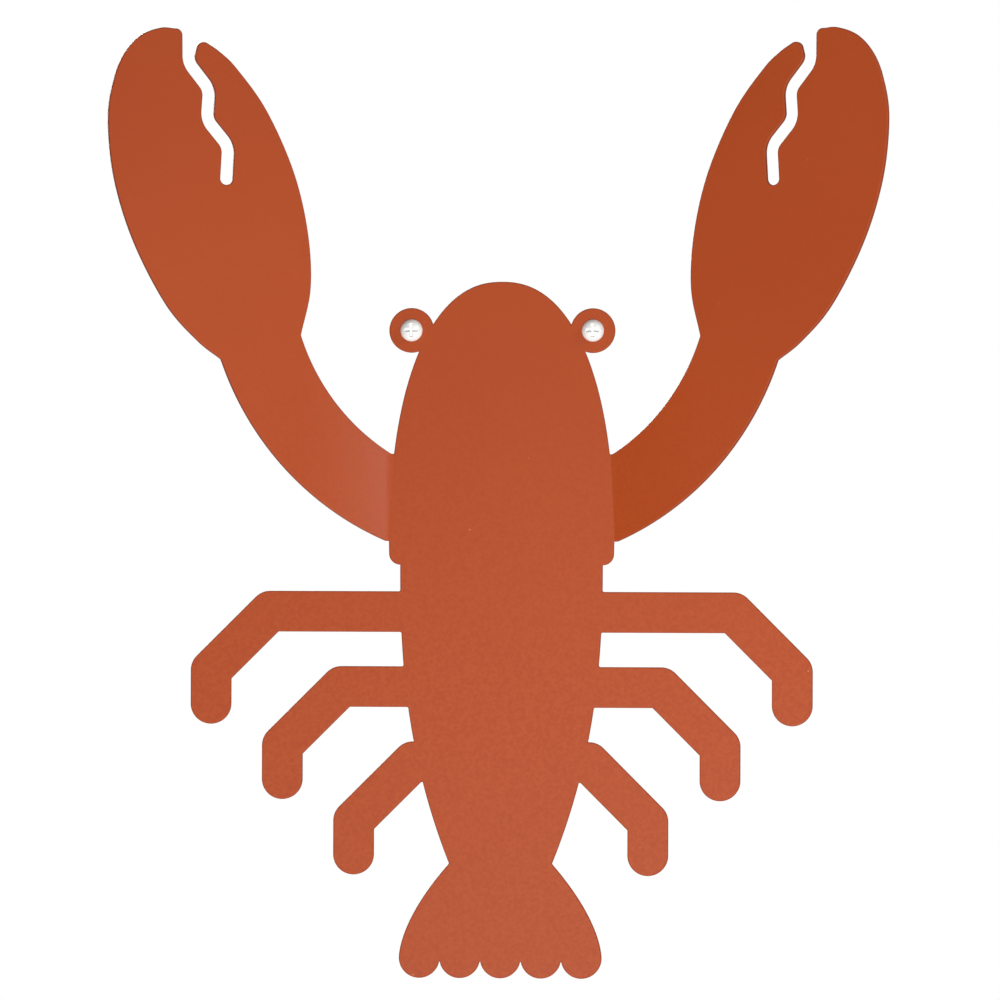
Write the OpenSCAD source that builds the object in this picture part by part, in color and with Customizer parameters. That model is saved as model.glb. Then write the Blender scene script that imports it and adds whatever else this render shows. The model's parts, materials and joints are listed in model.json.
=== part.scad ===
// Lobster-shaped wall hook: one folded sheet-steel hook with its two screws and two wall plugs.
// The origin is midway between the two eye holes, in the wall plane. The back of the hook lies
// on the wall at y = 0, its front faces -Y, and +Z is up. All sizes are in millimetres.

/* [Sheet] */
// Thickness of the steel sheet
sheet_t = 1.5; // [1:0.1:2.5]
// Inside radius of the fold at each arm's root
fold_r = 1; // [0.5:0.1:2]
// Angle by which each arm is folded forward
fold_angle = 18; // [8:1:30]

/* [Body] */
// Height of the nose above the eye holes
nose_top = 12.2; // [11:0.1:14]
// Half the width of the shell at its shoulders
shoulder_half_w = 28.2; // [27.8:0.1:29]
// Depth of the widest place of the shell below the eye holes
shoulder_drop = 54; // [52:0.5:56]
// Roundness of the shell's outline, where 2 is an ellipse
shell_power = 2.28; // [2:0.05:2.5]
// Half the width of the abdomen below the shell
abdomen_half_w = 25.4; // [24:0.1:27]
// Half the width of the waist above the tail
waist_half_w = 12.9; // [10:0.1:15]
// Depth of the waist below the eye holes
waist_drop = 133.5; // [128:0.5:138]

/* [Tail] */
// Half the width of the tail fan at its scallops
tail_half_w = 25.4; // [24:0.1:27]
// Depth of the scallops' centres below the eye holes
tail_drop = 157.1; // [154:0.5:162]
// Number of scallops along the tail's edge
scallops = 5; // [3:1:7]

/* [Eyes] */
// Distance between the two eye holes
eye_spacing = 45.5; // [44:0.5:47]
// Radius of each eye ring
eye_ring_r = 5.6; // [5:0.1:6.5]
// Diameter of the screw hole in each eye
eye_hole_d = 4.6; // [4:0.1:5]

/* [Legs] */
// Number of legs on each side
leg_count = 3; // [1:1:3]
// Width of each leg
leg_w = 10.2; // [8:0.2:12]
// Depth of the first leg below the eye holes
leg_drop = 70.5; // [68:0.5:74]
// Distance of the first leg's knee from the middle
leg_knee_x = 58.1; // [50:0.5:64]
// Drop from each leg to the next
leg_pitch = 18.8; // [17:0.2:20]
// How much less far out each next leg reaches
leg_step_in = 18; // [16:0.5:19]
// Sideways and downward run of each leg's slanted part
shin_run = 14.8; // [12:0.2:18]
// Length of each leg's upright foot
foot_length = 8.4; // [4:0.2:12]

/* [Claws] */
// Width of the wavy slot between the two fingers of each claw
slot_w = 3.2; // [2.4:0.1:4]
// Radius of the bends in the slot
slot_bend_r = 5; // [2.5:0.5:7.5]

/* [Screws] */
// Outside diameter of the screw thread
screw_d = 3; // [2.5:0.1:3.6]
// Length of the screw under its head
screw_length = 30; // [26:1:40]
// Diameter of the round screw head
head_d = 5.6; // [5.4:0.1:7]
// Height of the screw head
head_h = 2.2; // [1.8:0.1:2.6]

/* [Wall plugs] */
// Outside diameter of each wall plug at its collar
plug_d = 5; // [4.8:0.1:6]
// Outside diameter of the plug's split part
plug_core_d = 4.6; // [4:0.1:4.6]
// Length of each wall plug
plug_length = 25; // [20:1:30]
// Length of the plug's collar
collar_length = 8; // [4:1:10]
// Clearance around the screw inside the plug
screw_clearance = 0.05; // [0.02:0.01:0.1]

/* [Hidden] */
$fn = 64;
paint = [0.71, 0.33, 0.19];
zinc = [0.82, 0.83, 0.84];
nylon = [0.9, 0.9, 0.88];

// Number of straight steps in the shell's edge, in each stretch of a curve, and in each long arc
shell_steps = 28;
curve_steps = 6;
arc_steps = 12;

// Depth of the shell below its widest place, the radius of its lower corners, and how full the
// abdomen and the tail curve
shoulder_lip = 4.75;
shoulder_bottom = shoulder_drop + shoulder_lip;
shoulder_r = shoulder_half_w - abdomen_half_w;
abdomen_power = 2.4;
tail_power = 1.65;
scallop_pitch = 2 * tail_half_w / scallops;
// Angle by which a leg bends at its knee and again at its ankle
leg_bend = 45;

// The fold line of the right arm: the middle of the fold, its lean from upright, and its two ends
// above and below that middle
fold_x = 27.7;
fold_z = -42.25;
fold_lean = 3.1;
fold_up = 11.3;
fold_down = 10.6;
// Length of flat sheet that joins an arm to the body, length of straight edge between the bend and
// the arm's curved edges, and a reach past every edge of the claw
root_length = 6;
neck_length = 0.3;
limb_reach = 130;

// Places on the flat blank of an arm and claw, as [distance out from the fold line, height along
// it above the middle of the fold]
arm_under_middle = [26.2, 5];
arm_over_middle = [14.2, 22];
wrist_out = [45.2, 32.2];
wrist_in = [25.2, 39.5];
claw_out = [
    wrist_out,
    [51.5, 36.5],
    [60, 45],
    [69.1, 60],
    [75, 75.5],
    [77.4, 90.5],
    [76.4, 100.5],
    [74.1, 106.9],
    [70.3, 111.4],
    [65.4, 113.6]
];
claw_in = [
    [50, 108.6],
    [45.5, 104.8],
    [37.3, 94.9],
    [29.5, 80.2],
    [25, 65.5],
    [23.4, 51.5],
    wrist_in
];
slot_path = [[46.5, 77.3], [46.5, 85.4], [52.3, 91.6], [52.2, 99.2], [57.9, 105.6], [57.9, 112]];

// Radii of the two fingertips, how far back each stands from the slot's mouth, how much lower the
// inner one ends, and the angles at which they meet the claw's outer and inner edges
outer_tip_r = 1.7;
inner_tip_r = 1.8;
mouth_flare = 0.3;
inner_tip_drop = 3;
outer_tip_start = 80;
inner_tip_end = 120;

// Cross recess in the screw head, the screw's pointed tip, and the split in the wall plug
recess_w = 0.9;
recess_reach = 3.4;
recess_depth = 1.3;
tip_length = 3.5;
tip_d = 0.3;
plug_slot_w = 0.8;
plug_slot_start = 9;
// How far a cutting shape runs past the surface that it cuts
cut_past = 1;

function unit(v) = v / norm(v);
function last(p) = p[len(p) - 1];
function reversed(p) = [for (i = [len(p) - 1 : -1 : 0]) p[i]];
function mirrored(p) = [for (q = reversed(p)) [-q.x, q.y]];

// A point part of the way from b to c, on the smooth curve that also passes a and d
function between(a, b, c, d, s) =
    b + s / 2 * (c - a + s * (2 * a - 5 * b + 4 * c - d + s * (3 * (b - c) + d - a)));

// A smooth curve through all the given points
function smooth(p, n) = [
    for (i = [0 : len(p) - 2])
        for (k = [0 : n - 1])
            between(
                i == 0 ? 2 * p[0] - p[1] : p[i - 1],
                p[i],
                p[i + 1],
                i == len(p) - 2 ? 2 * p[i + 1] - p[i] : p[i + 2],
                k / n
            ),
    last(p)
];

// An arc around a centre, from one angle to another
function arc(centre, r, from, to, n) = [
    for (k = [0 : n])
        let (a = from + (to - from) * k / n)
        centre + r * [cos(a), sin(a)]
];

// The centre of the circle through three points
function centre_of(a, b, c) =
    let (
        p = b - a,
        q = c - a,
        w = 2 * cross(p, q),
        x = (q.y * (p * p) - p.y * (q * q)) / w,
        y = (p.x * (q * q) - q.x * (p * p)) / w
    )
    a + [x, y];

// The shorter arc from a to c through b
function arc_through(a, b, c, n) =
    let (
        m = centre_of(a, b, c),
        from = atan2(a.y - m.y, a.x - m.x),
        turn = atan2(cross(a - m, c - m), (a - m) * (c - m))
    )
    arc(m, norm(a - m), from, from + turn, n);

// The arc of radius r that rounds the corner b between a and c
function corner_arc(a, b, c, r, n) =
    let (
        back = unit(a - b),
        on = unit(c - b),
        half = acos(back * on) / 2,
        m = b + unit(back + on) * r / sin(half),
        start = b + back * r / tan(half),
        from = atan2(start.y - m.y, start.x - m.x),
        turn = sign(cross(b - a, c - b)) * (180 - 2 * half)
    )
    arc(m, r, from, from + turn, n);

function rounded_path(p, r, n) = [
    p[0],
    for (i = [1 : len(p) - 2])
        each corner_arc(p[i - 1], p[i], p[i + 1], r, n),
    last(p)
];

// The line that runs at distance d to the left of a path
function beside(p, d) = [
    for (i = [0 : len(p) - 1])
        let (t = unit(p[min(i + 1, len(p) - 1)] - p[max(i - 1, 0)]))
        p[i] + d * [-t.y, t.x]
];

// Right half of the body's outline, from the nose down to the tail
function shell_edge() = [
    for (k = [0 : shell_steps])
        let (a = 90 * (1 - k / shell_steps))
        [
            shoulder_half_w * pow(cos(a), 2 / shell_power),
            (nose_top + shoulder_drop) * pow(sin(a), 2 / shell_power) - shoulder_drop
        ]
];

function shoulder_edge() =
    arc([shoulder_half_w - shoulder_r, shoulder_r - shoulder_bottom], shoulder_r, 0, -90, curve_steps);

function abdomen_edge() = [
    for (k = [1 : 2 * curve_steps])
        let (s = k / (2 * curve_steps))
        [
            abdomen_half_w - (abdomen_half_w - waist_half_w) * pow(s, abdomen_power),
            -shoulder_bottom - (waist_drop - shoulder_bottom) * s
        ]
];

function tail_edge() = [
    for (k = [1 : 2 * curve_steps])
        let (s = k / (2 * curve_steps))
        [
            tail_half_w - (tail_half_w - waist_half_w) * pow(1 - s, tail_power),
            -waist_drop - (tail_drop - waist_drop) * s
        ]
];

function body_edge() = concat(shell_edge(), shoulder_edge(), abdomen_edge(), tail_edge());

// Whole outline of one arm and claw on the flat blank, anticlockwise from the root
function limb_edge() =
    let (
        slot = rounded_path(slot_path, slot_bend_r, curve_steps),
        slot_end = slot_path[0],
        outer_wall = reversed(beside(slot, -slot_w / 2)),
        inner_wall = beside(slot, slot_w / 2),
        inner_top = last(inner_wall) - [mouth_flare, inner_tip_drop],
        outer_tip = outer_wall[0] + [outer_tip_r + mouth_flare, 0],
        inner_tip = inner_top - [inner_tip_r, 0],
        outer_end = arc(outer_tip, outer_tip_r, outer_tip_start, 180, curve_steps),
        inner_end = arc(inner_tip, inner_tip_r, 0, inner_tip_end, curve_steps)
    )
    concat(
        arc_through([neck_length, -fold_down], arm_under_middle, wrist_out, arc_steps),
        smooth(concat(claw_out, [outer_end[0]]), curve_steps),
        outer_end,
        [for (q = outer_wall) if (q.y < outer_tip.y) q],
        arc(slot_end, slot_w / 2, 0, -180, curve_steps),
        [for (q = inner_wall) if (q.y < inner_tip.y) q],
        inner_end,
        smooth(concat([last(inner_end)], claw_in), curve_steps),
        arc_through(wrist_in, arm_over_middle, [neck_length, fold_up], arc_steps),
        [[-2 * root_length, fold_up], [-2 * root_length, -fold_down]]
    );

// A shape in the front view, given the sheet's thickness from the wall plane forwards
module sheet() {
    rotate([90, 0, 0])
        linear_extrude(sheet_t)
            children();
}

// The inner corner of a leg's bend, given the direction from it to the middle of the joint
function leg_corner(joint, a) = joint - leg_w / 2 / cos(leg_bend / 2) * [cos(a), sin(a)];

// Outline of one right leg, clockwise from its upper edge at the body's middle
function leg_edge(i) =
    let (
        hip = [0, -leg_drop - leg_pitch * i],
        knee = [leg_knee_x - leg_step_in * i, hip.y],
        ankle = knee + [shin_run, -shin_run],
        toe = ankle - [0, foot_length],
        r = leg_w / 2
    )
    concat(
        [hip + [0, r]],
        arc(knee, r, 90, 90 - leg_bend, curve_steps),
        arc(ankle, r, 90 - leg_bend, 0, curve_steps),
        arc(toe, r, 0, -180, 3 * curve_steps),
        [leg_corner(ankle, leg_bend / 2), leg_corner(knee, 90 - leg_bend / 2)],
        [hip - [0, r]]
    );

module eye_ring() {
    translate([eye_spacing / 2, 0])
        circle(eye_ring_r);
}

module body_outline() {
    edge = body_edge();
    difference() {
        union() {
            polygon(concat(edge, mirrored(edge)));
            for (i = [0 : scallops - 1])
                translate([(i - (scallops - 1) / 2) * scallop_pitch, -tail_drop])
                    circle(d = scallop_pitch);
            for (side = [0, 1])
                mirror([side, 0]) {
                    for (i = [0 : leg_count - 1])
                        polygon(leg_edge(i));
                    eye_ring();
                }
        }
        for (side = [-1, 1])
            translate([side * eye_spacing / 2, 0])
                circle(d = eye_hole_d);
    }
}

// The folded sheet seen along the fold line: a tongue in the wall plane, the bend, and the arm
function fold_section() =
    let (
        m = [0, -sheet_t - fold_r],
        end = 90 - fold_angle,
        arm = limb_reach * [cos(fold_angle), -sin(fold_angle)],
        front = arc(m, fold_r, 90, end, curve_steps),
        back = arc(m, fold_r + sheet_t, 90, end, curve_steps)
    )
    concat(
        [[-root_length, 0], [-root_length, -sheet_t]],
        front,
        [last(front) + arm, last(back) + arm],
        reversed(back)
    );

// The right arm with its claw and the root by which it joins the body
module limb() {
    bend_y = -sheet_t - fold_r;
    translate([fold_x, 0, fold_z])
        rotate([0, -fold_lean, 0])
            intersection() {
                linear_extrude(2 * limb_reach, center = true)
                    polygon(fold_section());
                translate([0, bend_y, 0])
                    rotate([90, 0, -fold_angle])
                        linear_extrude(4 * root_length, center = true)
                            polygon(limb_edge());
            }
}

module hook_plate() {
    color(paint) {
        sheet()
            body_outline();
        for (side = [0, 1])
            mirror([side, 0, 0])
                limb();
    }
}

// A round-headed screw pointing into the wall, its head on the front of the sheet
module screw(x) {
    dome_r = (head_d * head_d / 4 + head_h * head_h) / (2 * head_h);
    color(zinc)
        translate([x, -sheet_t, 0])
            rotate([-90, 0, 0]) {
                difference() {
                    intersection() {
                        translate([0, 0, dome_r - head_h])
                            sphere(dome_r);
                        translate([0, 0, -head_h])
                            cylinder(h = head_h, d = head_d);
                    }
                    for (turn = [0, 90])
                        rotate(turn)
                            translate([-recess_reach / 2, -recess_w / 2, -head_h - cut_past])
                                cube([recess_reach, recess_w, recess_depth + cut_past]);
                }
                cylinder(h = screw_length - tip_length, d = screw_d);
                translate([0, 0, screw_length - tip_length])
                    cylinder(h = tip_length, d1 = screw_d, d2 = tip_d);
            }
}

// A wall plug with its collar flush with the wall, split along its far part
module wall_plug(x) {
    color(nylon)
        translate([x, 0, 0])
            rotate([-90, 0, 0])
                difference() {
                    union() {
                        cylinder(h = collar_length, d = plug_d);
                        cylinder(h = plug_length, d = plug_core_d);
                    }
                    translate([0, 0, -cut_past])
                        cylinder(h = plug_length + 2 * cut_past, d = screw_d + 2 * screw_clearance);
                    translate([-plug_d, -plug_slot_w / 2, plug_slot_start])
                        cube([2 * plug_d, plug_slot_w, plug_length]);
                }
}

module left_screw() { screw(-eye_spacing / 2); }
module right_screw() { screw(eye_spacing / 2); }
module left_wall_plug() { wall_plug(-eye_spacing / 2); }
module right_wall_plug() { wall_plug(eye_spacing / 2); }

hook_plate();
left_screw();
right_screw();
left_wall_plug();
right_wall_plug();
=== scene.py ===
import json
from math import acos, asin, atan2, copysign, cos, degrees, pi, radians, sin, sqrt, tan

import bpy
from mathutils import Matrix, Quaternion, Vector
from mathutils.geometry import delaunay_2d_cdt


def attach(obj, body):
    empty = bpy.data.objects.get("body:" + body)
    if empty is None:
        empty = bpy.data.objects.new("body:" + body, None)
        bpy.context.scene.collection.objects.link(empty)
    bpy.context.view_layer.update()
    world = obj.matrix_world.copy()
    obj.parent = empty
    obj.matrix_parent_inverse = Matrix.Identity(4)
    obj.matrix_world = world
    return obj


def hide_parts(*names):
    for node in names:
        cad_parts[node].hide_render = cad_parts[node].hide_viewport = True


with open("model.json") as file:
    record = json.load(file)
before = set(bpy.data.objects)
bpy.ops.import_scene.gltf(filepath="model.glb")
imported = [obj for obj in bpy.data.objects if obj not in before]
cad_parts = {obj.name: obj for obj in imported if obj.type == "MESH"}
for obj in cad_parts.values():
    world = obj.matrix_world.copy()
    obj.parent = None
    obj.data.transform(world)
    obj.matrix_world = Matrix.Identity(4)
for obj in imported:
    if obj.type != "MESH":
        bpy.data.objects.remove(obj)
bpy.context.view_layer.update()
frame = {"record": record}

# A lobster-shaped wall hook of folded, powder-coated sheet steel, with its two screws and two wall
# plugs. Lengths are in millimetres in the frame's own axes, and a mesh is scaled to metres as it
# is made.
MM = 0.001

SHEET_T = 1.5
FOLD_R = 1.0
FOLD_ANGLE = radians(18)
EDGE_R = 0.3  # rounding of the cut edges under the coat
EDGE_STEPS = 4
CORNER_R = 0.4  # coat that fills or rounds a sharp corner of the outline
CORNER_STEPS = 4
SHARP_TURN = radians(20)

NOSE_TOP = 12.2
SHOULDER_HALF_W = 28.2
SHOULDER_DROP = 54.0
SHELL_POWER = 2.28
SHOULDER_LIP = 4.75
SHOULDER_BOTTOM = SHOULDER_DROP + SHOULDER_LIP
SHOULDER_STEPS = 12
NOSE_STEPS = 40
FLANK_STEPS = 72
ABDOMEN_HALF_W = 25.4
ABDOMEN_POWER = 2.4
ABDOMEN_STEP = 1.2  # height between two places on the abdomen's edge
WAIST_HALF_W = 12.9
WAIST_DROP = 133.5
TAIL_HALF_W = 25.4
TAIL_DROP = 157.1
TAIL_POWER = 1.65
TAIL_STEPS = 28
SCALLOPS = 5
SCALLOP_R = TAIL_HALF_W / SCALLOPS
SCALLOP_STEPS = 28
KERF_R = 0.12  # radius that the cutting beam leaves between two scallops
KERF_STEPS = 6

EYE_X = 1000 * max(m["pos_m"][0] for m in frame["record"]["mounts"] if m["kind"] == "pin")
EYE_RING_R = 5.6
EYE_RING_STEPS = 56
EYE_HOLE_R = 2.3
EYE_HOLE_STEPS = 48

LEG_COUNT = 3
LEG_W = 10.2
LEG_DROP = 70.5
LEG_KNEE_X = 58.1
LEG_PITCH = 18.8
LEG_STEP_IN = 18.0
SHIN_RUN = 14.8
FOOT_LENGTH = 8.4
LEG_BEND = 45
KNEE_STEPS = 12
TOE_STEPS = 40

# The right arm's fold line: its middle, its lean from upright, and its ends above and below it
FOLD_MIDDLE = Vector((27.7, -42.25))
FOLD_LEAN = radians(3.1)
FOLD_UP = 11.3
FOLD_DOWN = 10.6
FOLD_GAP = 0.3  # stretch of the shell's edge that is left out above the fold
FOLD_STEPS = 6
FOLD_LENGTH = (FOLD_R + SHEET_T / 2) * FOLD_ANGLE
NECK_LENGTH = 0.3
OUT = Vector((cos(FOLD_LEAN), sin(FOLD_LEAN)))
ALONG = Vector((-sin(FOLD_LEAN), cos(FOLD_LEAN)))

# Places on an arm's flat blank, as (distance out from the fold, height along it)
ARM_UNDER_MIDDLE = Vector((26.2, 5))
ARM_OVER_MIDDLE = Vector((14.2, 22))
ARM_STEPS = 36
WRIST_OUT = Vector((45.2, 32.2))
WRIST_IN = Vector((25.2, 39.5))
CLAW_OUT = [(51.5, 36.5), (60, 45), (69.1, 60), (75, 75.5), (77.4, 90.5), (76.4, 100.5),
            (74.1, 106.9), (70.3, 111.4), (65.4, 113.6)]
CLAW_IN = [(50, 108.6), (45.5, 104.8), (37.3, 94.9), (29.5, 80.2), (25, 65.5), (23.4, 51.5)]
CLAW_STEPS = 10
SLOT_PATH = [(46.5, 77.3), (46.5, 85.4), (52.3, 91.6), (52.2, 99.2), (57.9, 105.6), (57.9, 112)]
SLOT_W = 3.2
SLOT_BEND_R = 5.0
SLOT_BEND_STEPS = 8
SLOT_END_STEPS = 16
OUTER_TIP_R = 1.7
OUTER_TIP_FROM = 80  # direction in which the outer finger's tip starts
INNER_TIP_R = 1.8
INNER_TIP_TO = 120  # direction in which the inner finger's tip ends
TIP_STEPS = 12
MOUTH_FLARE = 0.3
INNER_TIP_DROP = 3.0

# Parts of the sheet: the flat body and the right arm. The left arm is -RIGHT.
BODY, RIGHT = 0, 1


# ---------------------------------------------------------------- outlines

def polar(angle):
    """The unit vector at that angle, in degrees."""
    return Vector((cos(radians(angle)), sin(radians(angle))))


def arc(centre, r, start, end, steps):
    return [centre + r * polar(start + (end - start) * k / steps) for k in range(steps + 1)]


def smooth(points, steps):
    """A smooth curve through all the points."""
    p = [Vector(q) for q in points]
    p = [2 * p[0] - p[1], *p, 2 * p[-1] - p[-2]]
    made = []
    for a, b, c, d in zip(p, p[1:], p[2:], p[3:]):
        for k in range(steps):
            s = k / steps
            bend = 2 * a - 5 * b + 4 * c - d + s * (3 * (b - c) + d - a)
            made.append(b + s / 2 * (c - a + s * bend))
    return made + [p[-2]]


def arc_through(a, b, c, steps):
    """The shorter arc from a to c through b."""
    p, q = b - a, c - a
    w = 2 * (p.x * q.y - p.y * q.x)
    centre = a + Vector((q.y * p.dot(p) - p.y * q.dot(q), p.x * q.dot(q) - q.x * p.dot(p))) / w
    first, end = a - centre, c - centre
    start = degrees(atan2(first.y, first.x))
    turn = degrees(atan2(first.x * end.y - first.y * end.x, first.dot(end)))
    return arc(centre, first.length, start, start + turn, steps)


def corner_arc(a, b, c, r, steps):
    """The arc of radius r that rounds the corner b between a and c."""
    back, on = (a - b).normalized(), (c - b).normalized()
    half = acos(max(-1.0, min(1.0, back.dot(on)))) / 2
    centre = b + (back + on).normalized() * r / sin(half)
    first = b + back * r / tan(half) - centre
    start = degrees(atan2(first.y, first.x))
    turn = copysign(180 - 2 * degrees(half), on.cross(back))
    return arc(centre, r, start, start + turn, steps)


def rounded_path(points, r, steps):
    p = [Vector(q) for q in points]
    made = [p[0]]
    for a, b, c in zip(p, p[1:], p[2:]):
        made += corner_arc(a, b, c, r, steps)
    return made + [p[-1]]


def beside(path, distance):
    """The line at that distance to the left of a path."""
    made = []
    for i, q in enumerate(path):
        t = (path[min(i + 1, len(path) - 1)] - path[max(i - 1, 0)]).normalized()
        made.append(q + distance * Vector((-t.y, t.x)))
    return made


def shell_point(angle):
    power = 2 / SHELL_POWER
    return Vector((SHOULDER_HALF_W * max(cos(angle), 0) ** power,
                   (NOSE_TOP + SHOULDER_DROP) * max(sin(angle), 0) ** power - SHOULDER_DROP))


def eye_crossing(inside, outside):
    """The angle along the shell at which its edge crosses the eye ring, between two that enclose it."""
    for _ in range(40):
        middle = (inside + outside) / 2
        if (shell_point(middle) - Vector((EYE_X, 0))).length < EYE_RING_R:
            inside = middle
        else:
            outside = middle
    return middle


def shell_arc(start, end, steps):
    return [shell_point(start + (end - start) * k / steps) for k in range(steps + 1)]


def head_edge():
    """From the nose round the right eye and down the shell to the top of the arm's fold."""
    level = asin((SHOULDER_DROP / (NOSE_TOP + SHOULDER_DROP)) ** (SHELL_POWER / 2))
    above = eye_crossing(level, pi / 2)
    below = eye_crossing(level, 0)
    eye = Vector((EYE_X, 0))
    top, bottom = shell_point(above) - eye, shell_point(below) - eye
    start = degrees(atan2(top.y, top.x))
    end = degrees(atan2(bottom.y, bottom.x)) - 360
    if start - end > 360:
        end += 360
    nose = shell_arc(pi / 2, above, NOSE_STEPS)
    ring = arc(eye, EYE_RING_R, start, end, EYE_RING_STEPS)[1:-1]
    flank = shell_arc(below, 0, FLANK_STEPS)
    return nose + ring + [p for p in flank if across_fold(p).y > FOLD_UP + FOLD_GAP]


def across_fold(p):
    """A place in the front view as (distance out from the right fold line, height along it)."""
    q = p - FOLD_MIDDLE
    return Vector((q.dot(OUT), q.dot(ALONG)))


def on_blank(u, v):
    return FOLD_MIDDLE + u * OUT + v * ALONG


def fold_edge(v, steps):
    return [on_blank(FOLD_LENGTH * k / FOLD_STEPS, v) for k in steps]


def limb_edge():
    """The arm and claw on the flat blank, clockwise from the top of the fold to its lower end."""
    slot = rounded_path(SLOT_PATH, SLOT_BEND_R, SLOT_BEND_STEPS)
    outer_wall = beside(slot, -SLOT_W / 2)[::-1]
    inner_wall = beside(slot, SLOT_W / 2)
    inner_top = inner_wall[-1] - Vector((MOUTH_FLARE, INNER_TIP_DROP))
    outer_tip = outer_wall[0] + Vector((OUTER_TIP_R + MOUTH_FLARE, 0))
    inner_tip = inner_top - Vector((INNER_TIP_R, 0))
    neck_low, neck_high = Vector((NECK_LENGTH, -FOLD_DOWN)), Vector((NECK_LENGTH, FOLD_UP))
    under = arc_through(neck_low, ARM_UNDER_MIDDLE, WRIST_OUT, ARM_STEPS)
    over = arc_through(WRIST_IN, ARM_OVER_MIDDLE, neck_high, ARM_STEPS)
    outer_end = arc(outer_tip, OUTER_TIP_R, OUTER_TIP_FROM, 180, TIP_STEPS)
    inner_end = arc(inner_tip, INNER_TIP_R, 0, INNER_TIP_TO, TIP_STEPS)
    edge = (under[:-1]
            + smooth([WRIST_OUT, *CLAW_OUT, outer_end[0]], CLAW_STEPS)
            + outer_end[1:]
            + [q for q in outer_wall if q.y < outer_tip.y]
            + arc(slot[0], SLOT_W / 2, 0, -180, SLOT_END_STEPS)[1:-1]
            + [q for q in inner_wall if q.y < inner_tip.y]
            + inner_end[:-1]
            + smooth([inner_end[-1], *CLAW_IN, WRIST_IN], CLAW_STEPS)[:-1]
            + over)
    return [on_blank(q.x + FOLD_LENGTH, q.y) for q in edge[::-1]]


def abdomen_x(z):
    s = (-SHOULDER_BOTTOM - z) / (WAIST_DROP - SHOULDER_BOTTOM)
    return ABDOMEN_HALF_W - (ABDOMEN_HALF_W - WAIST_HALF_W) * max(s, 0) ** ABDOMEN_POWER


def abdomen_stretch(top, bottom):
    """The abdomen's edge from one height down to another, both ends included."""
    steps = max(2, round((top - bottom) / ABDOMEN_STEP))
    heights = [top + (bottom - top) * k / steps for k in range(steps + 1)]
    return [Vector((abdomen_x(z), z)) for z in heights]


def leg_corner(joint, angle):
    """The inner corner of a leg's bend, given the direction from it to the middle of the joint."""
    return joint - LEG_W / 2 / cos(radians(LEG_BEND / 2)) * polar(angle)


def leg_edge(i):
    """The edge of the right leg of that number, counted down from 0, from its top to its bottom."""
    r = LEG_W / 2
    knee = Vector((LEG_KNEE_X - LEG_STEP_IN * i, -LEG_DROP - LEG_PITCH * i))
    ankle = knee + Vector((SHIN_RUN, -SHIN_RUN))
    toe = ankle - Vector((0, FOOT_LENGTH))
    return (arc(knee, r, 90, 90 - LEG_BEND, KNEE_STEPS)
            + arc(ankle, r, 90 - LEG_BEND, 0, KNEE_STEPS)
            + arc(toe, r, 0, -180, TOE_STEPS)
            + [leg_corner(ankle, LEG_BEND / 2), leg_corner(knee, 90 - LEG_BEND / 2)])


def flank_edge():
    """From the lower end of the fold down past the shoulder and the legs to the waist."""
    corner = SHOULDER_HALF_W - ABDOMEN_HALF_W
    middle = Vector((ABDOMEN_HALF_W, corner - SHOULDER_BOTTOM))
    made = arc(middle, corner, 0, -90, SHOULDER_STEPS)
    level = -SHOULDER_BOTTOM
    for i in range(LEG_COUNT):
        middle = -LEG_DROP - LEG_PITCH * i
        made += abdomen_stretch(level, middle + LEG_W / 2)[1 if i == 0 else 0:]
        made += leg_edge(i)
        level = middle - LEG_W / 2
    return made + abdomen_stretch(level, -WAIST_DROP)


def tail_edge():
    made = []
    for k in range(1, TAIL_STEPS + 1):
        s = k / TAIL_STEPS
        x = TAIL_HALF_W - (TAIL_HALF_W - WAIST_HALF_W) * (1 - s) ** TAIL_POWER
        made.append(Vector((x, -WAIST_DROP - (TAIL_DROP - WAIST_DROP) * s)))
    return made


def scallop_edge():
    """All the scallops from right to left, with a fine fillet in each notch."""
    reach = SCALLOP_R + KERF_R
    depth = sqrt(reach ** 2 - SCALLOP_R ** 2)
    lean = degrees(atan2(depth, SCALLOP_R))
    made = []
    for i in range(SCALLOPS):
        centre = Vector((TAIL_HALF_W - SCALLOP_R * (2 * i + 1), -TAIL_DROP))
        first = -lean if i else 0
        last = -180 if i == SCALLOPS - 1 else lean - 180
        made += arc(centre, SCALLOP_R, first, last, SCALLOP_STEPS)[0 if i else 1:]
        if i < SCALLOPS - 1:
            notch = centre - Vector((SCALLOP_R, depth))
            made += arc(notch, KERF_R, lean, 180 - lean, KERF_STEPS)[1:-1]
    return made[:-1]


def flip(point):
    return Vector((-point.x, point.y))


def marked(points, part, folds=None):
    """Each place with the part of the sheet that it is on, and the fold step that it lies at."""
    return [(p, part, k) for p, k in zip(points, folds or [None] * len(points))]


def soften(outline):
    """Rounds each sharp corner of a closed outline whose sides each have room for two such arcs."""
    made = []
    for i, (b, part, fold) in enumerate(outline):
        a, c = outline[i - 1][0], outline[(i + 1) % len(outline)][0]
        turn = (b - a).angle(c - b)
        room = 2.1 * CORNER_R * tan(turn / 2)
        if turn > SHARP_TURN and min((b - a).length, (c - b).length) > room:
            made += marked(corner_arc(a, b, c, CORNER_R, CORNER_STEPS), part)
        else:
            made.append((b, part, fold))
    return made


def blank_outline():
    """The hook's whole flat blank, clockwise from the nose."""
    steps = list(range(FOLD_STEPS + 1))
    right = (marked(head_edge(), BODY)
             + marked(fold_edge(FOLD_UP, steps), RIGHT, steps)
             + marked(limb_edge(), RIGHT)
             + marked(fold_edge(-FOLD_DOWN, steps[::-1]), RIGHT, steps[::-1])
             + marked(flank_edge() + tail_edge(), BODY))
    left = [(flip(p), -part, fold) for p, part, fold in right[::-1]]
    return soften(right + marked(scallop_edge(), BODY) + left[:-1])


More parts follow.
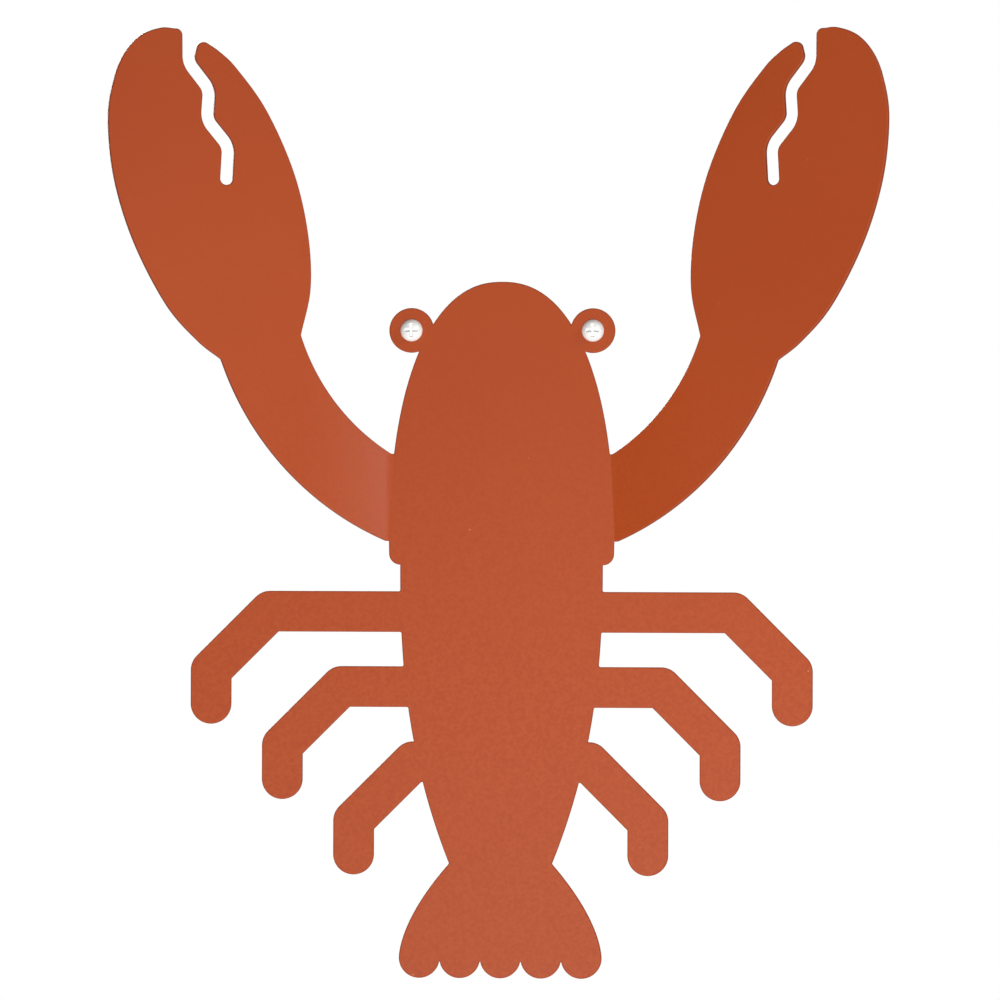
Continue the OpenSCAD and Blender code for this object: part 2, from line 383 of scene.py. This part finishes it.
# ---------------------------------------------------------------- the folded sheet

def folded(p, depth, part):
    """Where a place on the blank lies in space, at that depth in front of the sheet's back."""
    side = part or 1
    u, v = across_fold(Vector((p.x * side, p.y)))
    if part == BODY or u <= 0:
        return Vector((p.x, -depth, p.y))
    turn = FOLD_ANGLE * min(u / FOLD_LENGTH, 1)
    r = FOLD_R + SHEET_T - depth
    past = max(u - FOLD_LENGTH, 0)
    front = on_blank(r * sin(turn) + past * cos(turn), v)
    back = r * cos(turn) - past * sin(turn) - FOLD_R - SHEET_T
    return Vector((front.x * side, back, front.y))


def inset(loop, distance):
    """A closed loop moved to its left, which is into the sheet."""
    made = []
    for i, b in enumerate(loop):
        d1 = (b - loop[i - 1]).normalized()
        d2 = (loop[(i + 1) % len(loop)] - b).normalized()
        n1, n2 = Vector((-d1.y, d1.x)), Vector((-d2.y, d2.x))
        made.append(b + distance * (n1 + n2) / (1 + n1.dot(n2)))
    return made


def edge_rings():
    """The rounded cut edge from front to back, as (distance into the sheet, depth)."""
    angles = [pi / 2 * k / EDGE_STEPS for k in range(EDGE_STEPS + 1)]
    profile = [(EDGE_R * (1 - sin(a)), EDGE_R * (1 - cos(a))) for a in angles]
    return [(d, SHEET_T - t) for d, t in profile] + profile[::-1]


def sheet_loops():
    """The outline and the two eye holes, each with the sheet on its left."""
    loops = [blank_outline()[::-1]]
    for x in (-EYE_X, EYE_X):
        hole = arc(Vector((x, 0)), EYE_HOLE_R, 360, 0, EYE_HOLE_STEPS)
        loops.append(marked(hole[:-1], BODY))
    return loops


def hook_mesh():
    """Vertices, faces, how far each vertex is round the cut edge, and the number of edge faces."""
    rings = edge_rings()
    verts, faces, rim, caps = [], [], [], []
    for number, loop in enumerate(sheet_loops()):
        n, base = len(loop), len(verts)
        places = [p for p, _, _ in loop]
        for d, depth in rings:
            ring = inset(places, d)
            verts += [folded(q, depth, part) for q, (_, part, _) in zip(ring, loop)]
            rim += [1 - d / EDGE_R] * n
        for k in range(base, base + (len(rings) - 1) * n, n):
            faces += [(k + i, k + n + i, k + n + (i + 1) % n, k + (i + 1) % n) for i in range(n)]
        last = base + (len(rings) - 1) * n
        for i, (p, (_, part, fold)) in enumerate(zip(inset(places, EDGE_R), loop)):
            follow = len(caps) + (1 if i < n - 1 else 1 - n)
            caps.append({"place": p, "loop": number, "fold": (part, fold), "next": follow,
                         "front": base + i, "back": last + i})
    edge_faces = len(faces)
    return verts, faces + cap_faces(caps), rim, edge_faces


def fold_lines(caps):
    """Edges across the sheet along each step of each fold, so that the bend stays crisp."""
    ends = {}
    for i, corner in enumerate(caps):
        if corner["fold"][1] is not None:
            ends.setdefault(corner["fold"], []).append(i)
    return list(ends.values())


def cap_faces(caps):
    """The sheet's front and back, as triangles between the innermost rings."""
    edges = [(i, corner["next"]) for i, corner in enumerate(caps)] + fold_lines(caps)
    places = [corner["place"] for corner in caps]
    outline, *holes = ([i for i, corner in enumerate(caps) if corner["loop"] == k] for k in range(3))
    areas = [outline] + [hole[::-1] for hole in holes]
    _, _, triangles, sources, _, inside = delaunay_2d_cdt(places, edges, areas, 0, 1e-7, True)
    made = []
    for triangle, areas_here in zip(triangles, inside):
        if areas_here != [0]:
            continue
        a, b, c = (caps[sources[i][0]] for i in triangle)
        made.append((a["front"], b["front"], c["front"]))
        made.append((a["back"], c["back"], b["back"]))
    return made


def new_piece(name, verts, faces, body, node, slot, finish):
    """A mesh piece in metres that rides on a body, stands for a CAD node and has a finish."""
    mesh = bpy.data.meshes.new(name)
    mesh.from_pydata([Vector(v) * MM for v in verts], [], faces)
    mesh.materials.append(finish)
    mesh.polygons.foreach_set("use_smooth", [True] * len(mesh.polygons))
    mesh.update()
    piece = bpy.data.objects.new(name, mesh)
    bpy.context.scene.collection.objects.link(piece)
    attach(piece, body)
    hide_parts(node)
    return piece


def make_hook(finish):
    verts, faces, rim, edge_faces = hook_mesh()
    hook = new_piece("lobster_plate", verts, faces, "hook", "hook_plate", "powder_coat", finish)
    smooth_faces = [i < edge_faces for i in range(len(hook.data.polygons))]
    hook.data.polygons.foreach_set("use_smooth", smooth_faces)
    hook.data.attributes.new("rim", "FLOAT", "POINT").data.foreach_set("value", rim)


# ---------------------------------------------------------------- screws

HEAD_R = 2.8
HEAD_H = 2.2
HEAD_RINGS = 46
HEAD_SPOKES = 120
RECESS_W = 0.9
RECESS_REACH = 1.7
RECESS_DEPTH = 1.15
RECESS_SLOPE = 0.16
RECESS_RISE = 0.45  # share of the depth that the recess's floor rises by at its ends
CORE_R = 1.05
CREST_R = 1.48
THREAD_PITCH = 1.35
THREAD_STEPS = 28
THREAD_START = -0.5
THREAD_SINK = 0.08  # how far the ridge's foot lies inside the core
RIDGE_HALF_W = 0.4
CREST_HALF_W = 0.06
TAPER_START = 24.0
TAPER_MIDDLE = (0.55, 27.0)  # radius part of the way down the point, and its place
POINT_R = 0.06
POINT_END = 28.5
THREAD_END = POINT_END - 0.7
HEAD_GAP = 0.02


def recess_depth(a, b):
    """Depth of the cross recess at a place on the head, with steep sides and a rising floor."""
    arms = (max(abs(a) - RECESS_W / 2, abs(b) - RECESS_REACH),
            max(abs(b) - RECESS_W / 2, abs(a) - RECESS_REACH))
    inside = min(max(-min(arms) / RECESS_SLOPE, 0), 1)
    floor = RECESS_DEPTH * (1 - RECESS_RISE * sqrt(a * a + b * b) / RECESS_REACH)
    return floor * inside * inside * (3 - 2 * inside)


def ring_faces(start, count, first_ring, rings):
    """Quads between following rings of vertices, of that many vertices each."""
    made = []
    for k in range(first_ring, first_ring + rings):
        a = start + k * count
        made += [(a + i, a + (i + 1) % count, a + count + (i + 1) % count, a + count + i)
                 for i in range(count)]
    return made


def head_mesh(x):
    """A domed head with a cross recess and a flat underside on the front of the sheet."""
    dome_r = (HEAD_R ** 2 + HEAD_H ** 2) / (2 * HEAD_H)
    verts = [(x, -SHEET_T - HEAD_H + recess_depth(0, 0), 0)]
    for k in range(1, HEAD_RINGS + 1):
        r = HEAD_R * k / HEAD_RINGS
        height = sqrt(dome_r ** 2 - r ** 2) - dome_r + HEAD_H
        for i in range(HEAD_SPOKES):
            a, b = r * polar(360 * i / HEAD_SPOKES)
            verts.append((x + a, -SHEET_T - height + recess_depth(a, b), b))
    for i in range(HEAD_SPOKES):
        a, b = CORE_R * polar(360 * i / HEAD_SPOKES)
        verts.append((x + a, -SHEET_T, b))
    last = len(verts) - HEAD_SPOKES
    faces = [(0, 1 + i, 1 + (i + 1) % HEAD_SPOKES) for i in range(HEAD_SPOKES)]
    faces += ring_faces(1, HEAD_SPOKES, 0, HEAD_RINGS)
    faces.append(tuple(range(last, last + HEAD_SPOKES)))
    return verts, faces


def core_mesh(x):
    """The solid core under the thread, with its pointed end."""
    profile = [(CORE_R, -SHEET_T + HEAD_GAP), (CORE_R, TAPER_START), TAPER_MIDDLE,
               (POINT_R, POINT_END)]
    verts = []
    for r, y in profile:
        for i in range(THREAD_STEPS):
            a, b = r * polar(360 * i / THREAD_STEPS)
            verts.append((x + a, y, b))
    faces = ring_faces(0, THREAD_STEPS, 0, len(profile) - 1)
    faces.append(tuple(range(THREAD_STEPS))[::-1])
    faces.append(tuple(range(len(verts) - THREAD_STEPS, len(verts))))
    return verts, [f[::-1] for f in faces]


def thread_mesh(x):
    """The thread's ridge, which runs out at both ends and follows the point's taper."""
    steps = round((THREAD_END - THREAD_START) / THREAD_PITCH * THREAD_STEPS)
    verts, faces = [], []
    for s in range(steps + 1):
        y = THREAD_START + THREAD_PITCH * s / THREAD_STEPS
        taper = max(0, (y - TAPER_START) / (POINT_END - TAPER_START))
        root = CORE_R * (1 - 0.85 * taper) - THREAD_SINK
        run_out = min(1, s / THREAD_STEPS, (steps - s) / THREAD_STEPS)
        crest = root + (CREST_R * (1 - 0.75 * taper) - root) * run_out
        way = polar(360 * s / THREAD_STEPS)
        for along, r in ((-RIDGE_HALF_W, root), (-CREST_HALF_W, crest),
                         (CREST_HALF_W, crest), (RIDGE_HALF_W, root)):
            verts.append((x + r * way.x, y + along * (1 - 0.5 * taper), r * way.y))
    for s in range(steps):
        a = 4 * s
        faces += [(a + i, a + 4 + i, a + 4 + (i + 1) % 4, a + (i + 1) % 4) for i in range(4)]
    faces += [(0, 1, 2, 3), tuple(4 * steps + i for i in (3, 2, 1, 0))]
    return verts, faces


def joined(*meshes):
    verts, faces = [], []
    for v, f in meshes:
        faces += [tuple(i + len(verts) for i in face) for face in f]
        verts += v
    return verts, faces


def make_screw(side, x, lacquer, zinc):
    node = f"{side}_screw"
    new_piece(f"{node}_head", *head_mesh(x), node, node, "white_lacquer", lacquer)
    shank = joined(core_mesh(x), thread_mesh(x))
    new_piece(f"{node}_thread", *shank, node, node, "zinc_steel", zinc)


# ---------------------------------------------------------------- wall plugs

PLUG_R = 2.5
PLUG_BORE_R = 1.55
PLUG_LENGTH = 25.0
MOUTH_CHAMFER = 0.12
COLLAR_LENGTH = 8.0
COLLAR_TAPER = 0.3
RIB_COUNT = 12
RIB_START = 1.0
RIB_RISE = 0.15
RIB_DEPTH = 0.14
SPLIT_START = 9.0
SPLIT_HALF = 0.4
TOOTH_START = SPLIT_START + 0.2
TOOTH_PITCH = 3.2
TOOTH_LOW_R = 2.08
TOOTH_HIGH_R = PLUG_R - 0.15
TOOTH_RISE = 0.12
TOOTH_FLAT_END = 0.5
TOOTH_GAP = 0.4
TIP_TAPER = 0.5
TIP_CHAMFER = 0.25
HALF_COLUMNS = 24


def plug_rows():
    """The plug's outer radius along its length, as (distance into the wall, radius, ribbed)."""
    rows = [(0, PLUG_R - MOUTH_CHAMFER, False), (MOUTH_CHAMFER, PLUG_R, False),
            (RIB_START, PLUG_R, False), (RIB_START + RIB_RISE, PLUG_R, True),
            (COLLAR_LENGTH - COLLAR_TAPER, PLUG_R, True), (COLLAR_LENGTH, TOOTH_LOW_R, False),
            (SPLIT_START, TOOTH_LOW_R, False)]
    y = TOOTH_START
    while y + TOOTH_PITCH < PLUG_LENGTH:
        rows += [(y, TOOTH_LOW_R, False), (y + TOOTH_RISE, TOOTH_HIGH_R, False),
                 (y + TOOTH_FLAT_END, TOOTH_HIGH_R, False),
                 (y + TOOTH_PITCH - TOOTH_GAP, TOOTH_LOW_R, False)]
        y += TOOTH_PITCH
    return rows + [(PLUG_LENGTH - TIP_TAPER, TOOTH_LOW_R, False),
                   (PLUG_LENGTH, TOOTH_LOW_R - TIP_CHAMFER, False)]


def plug_angles(r):
    """The columns round the plug, in radians: two halves with a column in the middle of each split."""
    wall = asin(SPLIT_HALF / r)
    half = [wall + (pi - 2 * wall) * k / HALF_COLUMNS for k in range(HALF_COLUMNS + 1)]
    return half + [pi] + [pi + a for a in half] + [2 * pi]


def rib_drop(column):
    """How far the ribbed stretch lies below the plug's full radius at that column."""
    return RIB_DEPTH if column * RIB_COUNT // HALF_COLUMNS % 2 else 0.0


def plug_mesh(x):
    """A plug with a bore right through it, split in two halves from SPLIT_START on."""
    rows = plug_rows()
    columns = len(plug_angles(PLUG_R))
    splits = {HALF_COLUMNS, HALF_COLUMNS + 1, columns - 2, columns - 1}
    verts, index = [], {}

    def corner(i, j, outer):
        key = (i % len(rows), j % columns, outer)
        if key not in index:
            y, r, ribbed = rows[key[0]]
            r = r - (rib_drop(key[1]) if ribbed else 0) if outer else PLUG_BORE_R
            a = plug_angles(r)[key[1]]
            index[key] = len(verts)
            verts.append((x + r * cos(a), y, r * sin(a)))
        return index[key]

    def present(i, j):
        if not 0 <= i < len(rows) - 1:
            return False
        return rows[i][0] < SPLIT_START or j % columns not in splits

    faces = []
    for i in range(len(rows) - 1):
        for j in range(columns):
            if not present(i, j):
                continue
            square = [(i, j), (i, j + 1), (i + 1, j + 1), (i + 1, j)]
            faces.append([corner(*q, True) for q in square])
            faces.append([corner(*q, False) for q in square[::-1]])
            sides = [((i - 1, j), 0), ((i, j + 1), 1), ((i + 1, j), 2), ((i, j - 1), 3)]
            for neighbour, k in sides:
                if not present(*neighbour):
                    p, q = square[k], square[(k + 1) % 4]
                    faces.append([corner(*q, True), corner(*p, True),
                                  corner(*p, False), corner(*q, False)])
    return verts, faces


def make_plug(side, x, nylon):
    node = f"{side}_wall_plug"
    piece = new_piece(f"{node}_nylon", *plug_mesh(x), "hook", node, "white_nylon", nylon)
    piece.data.set_sharp_from_angle(angle=radians(28))


# ---------------------------------------------------------------- finishes

class Finish:
    """A material whose nodes are made one after another, in the piece's own coordinates."""

    def __init__(self, name, **constants):
        self.material = bpy.data.materials.new(name)
        self.material.use_nodes = True
        self.tree = self.material.node_tree
        self.shader = self.tree.nodes["Principled BSDF"]
        for socket, value in constants.items():
            self.shader.inputs[socket.replace("_", " ")].default_value = value
        self.place = self.node("ShaderNodeTexCoord").outputs["Object"]

    def node(self, kind, inputs=None, **settings):
        made = self.tree.nodes.new(kind)
        for name, value in settings.items():
            setattr(made, name, value)
        for name, value in (inputs or {}).items():
            self.feed(made.inputs[name], value)
        return made

    def feed(self, socket, value):
        if isinstance(value, bpy.types.NodeSocket):
            self.tree.links.new(value, socket)
        else:
            socket.default_value = value

    def noise(self, size_mm, detail=2.0, place=None, roughness=0.5):
        """Noise from 0 to 1 with features of about that size."""
        made = self.node("ShaderNodeTexNoise", {"Vector": place or self.place,
                                                "Scale": 1 / (size_mm * MM), "Detail": detail,
                                                "Roughness": roughness})
        return made.outputs["Fac"]

    def stretched(self, scale):
        return self.node("ShaderNodeMapping", {"Vector": self.place, "Scale": scale}).outputs[0]

    def ramp(self, value, low, high, to_low=0.0, to_high=1.0):
        """Value carried from the range low..high to the range to_low..to_high, and held there."""
        made = self.node("ShaderNodeMapRange", {"Value": value, "From Min": low, "From Max": high,
                                                "To Min": to_low, "To Max": to_high})
        return made.outputs["Result"]

    def maths(self, operation, a, b):
        made = self.node("ShaderNodeMath", operation=operation)
        self.feed(made.inputs[0], a)
        self.feed(made.inputs[1], b)
        return made.outputs[0]

    def mixed(self, share, a, b, blend_type="MIX"):
        made = self.node("ShaderNodeMix", data_type="RGBA", blend_type=blend_type)
        self.feed(made.inputs["Factor"], share)
        self.feed(made.inputs[6], a)
        self.feed(made.inputs[7], b)
        return made.outputs[2]

    def bump(self, layers):
        """Bumps on top of each other, each a height from 0 to 1 with its depth in micrometres."""
        normal = None
        for height, depth_um in layers:
            made = self.node("ShaderNodeBump", {"Height": height, "Distance": depth_um * 1e-6})
            if normal:
                self.feed(made.inputs["Normal"], normal)
            normal = made.outputs["Normal"]
        self.feed(self.shader.inputs["Normal"], normal)

    def show(self, socket, value):
        self.feed(self.shader.inputs[socket], value)


def grey(value):
    return (value, value, value, 1)


# The coat is smoother on each arm beside its fold: from there out to the end of the fade, and
# above its lower edge. Its orange peel is painted as a lighter crest and a darker pit colour, a painted
# highlight and painted shade of the relief, and is full from the tail up and faint above the carapace,
# which paints the lower body lighter.
BURNISH_START, BURNISH_FULL, FADE_START, FADE_END = 0.027, 0.029, 0.030, 0.048
BURNISH_BOTTOM, BURNISH_RISE = -0.063, 0.003
PEEL_AND_PAINTED_LIGHT_FULL_Z, PEEL_AND_PAINTED_LIGHT_FAINT_Z = -0.09, 0.0


def powder_coat():
    """Matt terracotta powder coat: orange peel painted with highlights on its crests and shade in its
    pits, lighter towards the tail, fine grain, a few light specks, thin at the edges.
    """
    f = Finish("powder_coat", Specular_IOR_Level=0.17)
    rim = f.node("ShaderNodeAttribute", attribute_name="rim").outputs["Fac"]
    paint, deep, thin = (0.366, 0.057, 0.011, 1), (0.35, 0.052, 0.0098, 1), (0.25, 0.045, 0.014, 1)
    # The peel's crest colour is a painted highlight and its pit colour a painted shade; together they
    # are lighter than the plain paint.
    crest, shaded_peel_pit = (0.396, 0.067, 0.0138, 1), (0.356, 0.052, 0.0102, 1)
    apart = f.node("ShaderNodeSeparateXYZ", {"Vector": f.place})
    peel = f.mixed(f.ramp(f.noise(0.9, 3), 0.35, 0.65), crest, shaded_peel_pit)
    colour = f.mixed(f.ramp(f.noise(60), 0.35, 0.65), paint, deep)
    # More peel towards the tail paints the lower body lighter: painted light as well as grain.
    colour = f.mixed(f.ramp(apart.outputs["Z"], PEEL_AND_PAINTED_LIGHT_FULL_Z, PEEL_AND_PAINTED_LIGHT_FAINT_Z, 0.85, 0.12), colour, peel)
    cells = f.node("ShaderNodeTexVoronoi", {"Vector": f.place, "Scale": 1 / (7 * MM)})
    near = f.ramp(cells.outputs["Distance"], 0.02, 0.045, 1.0, 0.0)
    rare = f.ramp(f.node("ShaderNodeSeparateColor", {"Color": cells.outputs["Color"]}).outputs[0],
                  0.80, 0.82)
    speck = f.maths("MULTIPLY", near, rare)
    colour = f.mixed(f.maths("MULTIPLY", speck, 0.45), colour, (0.62, 0.27, 0.14, 1))
    worn = f.maths("MULTIPLY", f.ramp(rim, 0.1, 1.0), f.ramp(f.noise(2.5, 4), 0.3, 0.75, 0.35, 0.9))
    colour = f.mixed(worn, colour, thin)
    f.show("Base Color", colour)
    across = f.maths("ABSOLUTE", apart.outputs["X"], 0.0)
    arm = f.ramp(apart.outputs["Z"], BURNISH_BOTTOM, BURNISH_BOTTOM + BURNISH_RISE)
    burnish = f.maths("POWER", f.ramp(across, FADE_START, FADE_END, 1.0, 0.0), 0.38)
    burnish = f.maths("MULTIPLY", burnish, arm)
    burnish = f.maths("MULTIPLY", burnish, f.ramp(across, BURNISH_START, BURNISH_FULL))
    rough = f.ramp(burnish, 0.0, 1.0, 0.5, 0.27)
    f.show("Roughness", f.maths("ADD", rough, f.ramp(f.noise(0.7, 4), 0.3, 0.7, -0.02, 0.02)))
    cut = f.maths("MULTIPLY", f.noise(0.22, 3, f.stretched((1, 0.05, 1))), f.ramp(rim, 0.5, 1.0))
    f.bump([(f.noise(1.3, 2), 14), (f.noise(0.35, 3), 6), (speck, 25), (cut, 30)])
    return f.material


def white_lacquer():
    """White stoving lacquer on the screw heads, with small darker chips here and there."""
    f = Finish("white_lacquer", Roughness=0.32, Specular_IOR_Level=0.45)
    colour = f.mixed(f.ramp(f.noise(3, 4), 0.35, 0.7), (0.86, 0.86, 0.84, 1), (0.8, 0.8, 0.77, 1))
    chips = f.ramp(f.noise(0.35, 4), 0.68, 0.72, 0.0, 0.5)
    f.show("Base Color", f.mixed(chips, colour, (0.5, 0.5, 0.49, 1)))
    f.show("Roughness", f.ramp(f.noise(0.8, 3), 0.3, 0.7, 0.26, 0.4))
    f.bump([(f.noise(0.5, 2), 8)])
    return f.material


def zinc_plating():
    """Bright zinc on the screws' threads, with rolling marks along the thread and dull patches."""
    f = Finish("zinc_plating", Metallic=1.0)
    colour = f.mixed(f.ramp(f.noise(2.5, 4), 0.35, 0.7), (0.66, 0.68, 0.7, 1), (0.52, 0.53, 0.53, 1))
    f.show("Base Color", f.mixed(f.ramp(f.noise(0.4, 3), 0.62, 0.7, 0, 0.5), colour, grey(0.3)))
    f.show("Roughness", f.ramp(f.noise(0.9, 4), 0.3, 0.7, 0.24, 0.46))
    f.bump([(f.noise(0.12, 3, f.stretched((1, 6, 1))), 5), (f.noise(0.8, 2), 8)])
    return f.material


def nylon():
    """Natural white nylon, slightly waxy, with a dull moulded skin."""
    f = Finish("nylon", Subsurface_Weight=0.25, Subsurface_Scale=0.0015, Specular_IOR_Level=0.4)
    colour = f.mixed(f.ramp(f.noise(5, 3), 0.35, 0.65), (0.82, 0.82, 0.78, 1), (0.74, 0.74, 0.69, 1))
    f.show("Base Color", colour)
    f.show("Roughness", f.ramp(f.noise(0.6, 4), 0.3, 0.7, 0.42, 0.6))
    f.bump([(f.noise(0.4, 3), 10), (f.noise(0.1, 2), 3)])
    return f.material


# ---------------------------------------------------------------- studio

FLOOR_Z = -0.30
FLOOR_R = 0.45
FLOOR_SPOKES = 96
ROOM_STRENGTH = 0.25
TARGET = Vector((-0.00048, 0, -0.04245))
CAMERA_DISTANCE = 2.0
CAMERA_AZIMUTH = radians(3.5)
CAMERA_ELEVATION = radians(-0.55)
CAMERA_ROLL = radians(0.2)
VIEW_WIDTH = 0.25056  # width of the view at the target
# The lights, each with its place, what it is aimed at, its diameter and its watts
LIGHTS = {
    "key": (Vector((0.04, -0.6, -0.315)), Vector((0.02, 0, -0.25)), 0.2, 4.35),
    "kicker": (Vector((0.613, -1.012, -0.042)), TARGET, 0.12, 1.1),
    "side": (Vector((0.305, -0.13, 0.186)), TARGET, 0.15, 0.46),
    "back": (Vector((-0.5, 1.1, 0.35)), TARGET, 0.6, 14),
}


def make_camera():
    data = bpy.data.cameras.new("camera")
    data.sensor_width = 36
    data.lens = data.sensor_width * CAMERA_DISTANCE / VIEW_WIDTH
    camera = bpy.data.objects.new("camera", data)
    bpy.context.scene.collection.objects.link(camera)
    level = cos(CAMERA_ELEVATION)
    back = Vector((sin(CAMERA_AZIMUTH) * level, -cos(CAMERA_AZIMUTH) * level, sin(CAMERA_ELEVATION)))
    camera.location = TARGET + back * CAMERA_DISTANCE
    camera.rotation_mode = "QUATERNION"
    roll = Quaternion((0, 0, 1), CAMERA_ROLL)
    camera.rotation_quaternion = (-back).to_track_quat("-Z", "Y") @ roll
    bpy.context.scene.camera = camera


def make_light(name, place, aim, size, watts):
    data = bpy.data.lights.new(name, "AREA")
    data.shape = "DISK"
    data.size = size
    data.energy = watts
    light = bpy.data.objects.new(name, data)
    light.location = place
    light.rotation_mode = "QUATERNION"
    light.rotation_quaternion = (aim - light.location).to_track_quat("-Z", "Y")
    light.visible_camera = False
    bpy.context.scene.collection.objects.link(light)


def make_world():
    """A dim studio all round, with a white backdrop as the camera sees it."""
    world = bpy.data.worlds.new("studio")
    world.use_nodes = True
    bpy.context.scene.world = world
    nodes, links = world.node_tree.nodes, world.node_tree.links
    room = nodes["Background"]
    room.inputs["Color"].default_value = grey(1)
    room.inputs["Strength"].default_value = ROOM_STRENGTH
    backdrop = nodes.new("ShaderNodeBackground")
    backdrop.inputs["Color"].default_value = grey(1)
    mix = nodes.new("ShaderNodeMixShader")
    links.new(nodes.new("ShaderNodeLightPath").outputs["Is Camera Ray"], mix.inputs[0])
    links.new(room.outputs[0], mix.inputs[1])
    links.new(backdrop.outputs[0], mix.inputs[2])
    links.new(mix.outputs[0], nodes["World Output"].inputs[0])


def make_floor():
    """A pale round floor below the hook."""
    f = Finish("floor_paint", Roughness=0.7)
    f.show("Base Color", f.mixed(f.noise(40, 3), grey(0.78), grey(0.82)))
    rim = [FLOOR_R * polar(360 * i / FLOOR_SPOKES) for i in range(FLOOR_SPOKES)]
    mesh = bpy.data.meshes.new("floor")
    mesh.from_pydata([(x, y, FLOOR_Z) for x, y in rim], [], [tuple(range(FLOOR_SPOKES))])
    mesh.materials.append(f.material)
    floor = bpy.data.objects.new("floor", mesh)
    bpy.context.scene.collection.objects.link(floor)


make_hook(powder_coat())
heads, threads, plugs = white_lacquer(), zinc_plating(), nylon()
for side, x in (("left", -EYE_X), ("right", EYE_X)):
    make_screw(side, x, heads, threads)
    make_plug(side, x, plugs)
make_floor()
make_world()
make_camera()
for name, settings in LIGHTS.items():
    make_light(name, *settings)
bpy.context.scene.view_settings.view_transform = "Standard"
